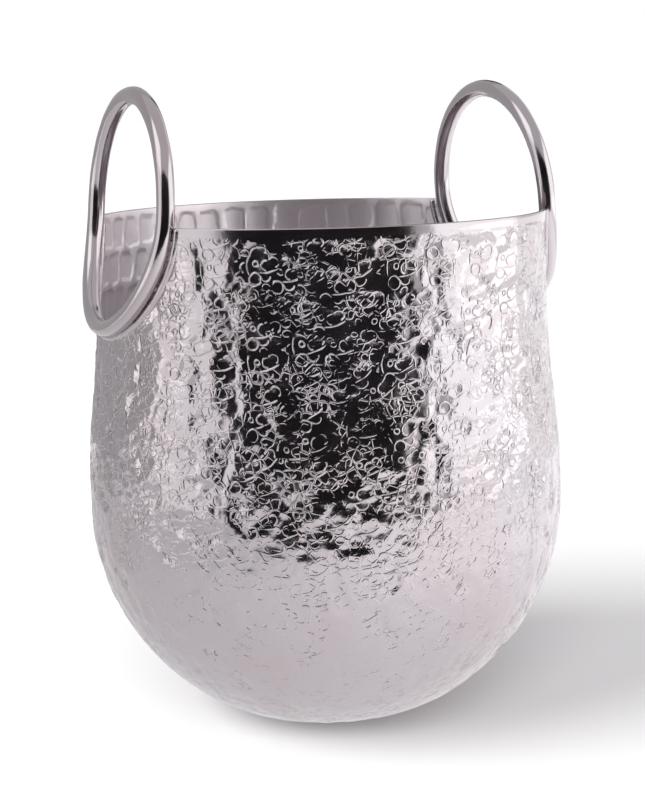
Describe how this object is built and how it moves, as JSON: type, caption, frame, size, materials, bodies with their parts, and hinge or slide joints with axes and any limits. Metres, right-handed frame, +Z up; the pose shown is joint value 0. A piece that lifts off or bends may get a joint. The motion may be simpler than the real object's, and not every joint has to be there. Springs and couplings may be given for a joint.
{
  "type": "champagne bucket",
  "caption": "Round-bottomed hammered metal bucket for chilling bottles, with an upright closed ring handle welded into each side of its wall.",
  "frame": {"origin": "centre of the flat base, on the surface that the bucket stands on", "axes": "+Z up along the bucket's axis, +X out through the right ring handle"},
  "size_m": [0.23, 0.23, 0.3034],
  "materials": {
    "hammered_sheet": "hammered and polished",
    "polished_rod": "mirror polished",
    "dressed_weld": "dressed smooth and polished"
  },
  "bodies": {
    "root": {"bucket_shell": "hammered_sheet", "left_handle_ring": "polished_rod", "right_handle_ring": "polished_rod", "left_weld_bead": "dressed_weld", "right_weld_bead": "dressed_weld"}
  },
  "joints": []
}
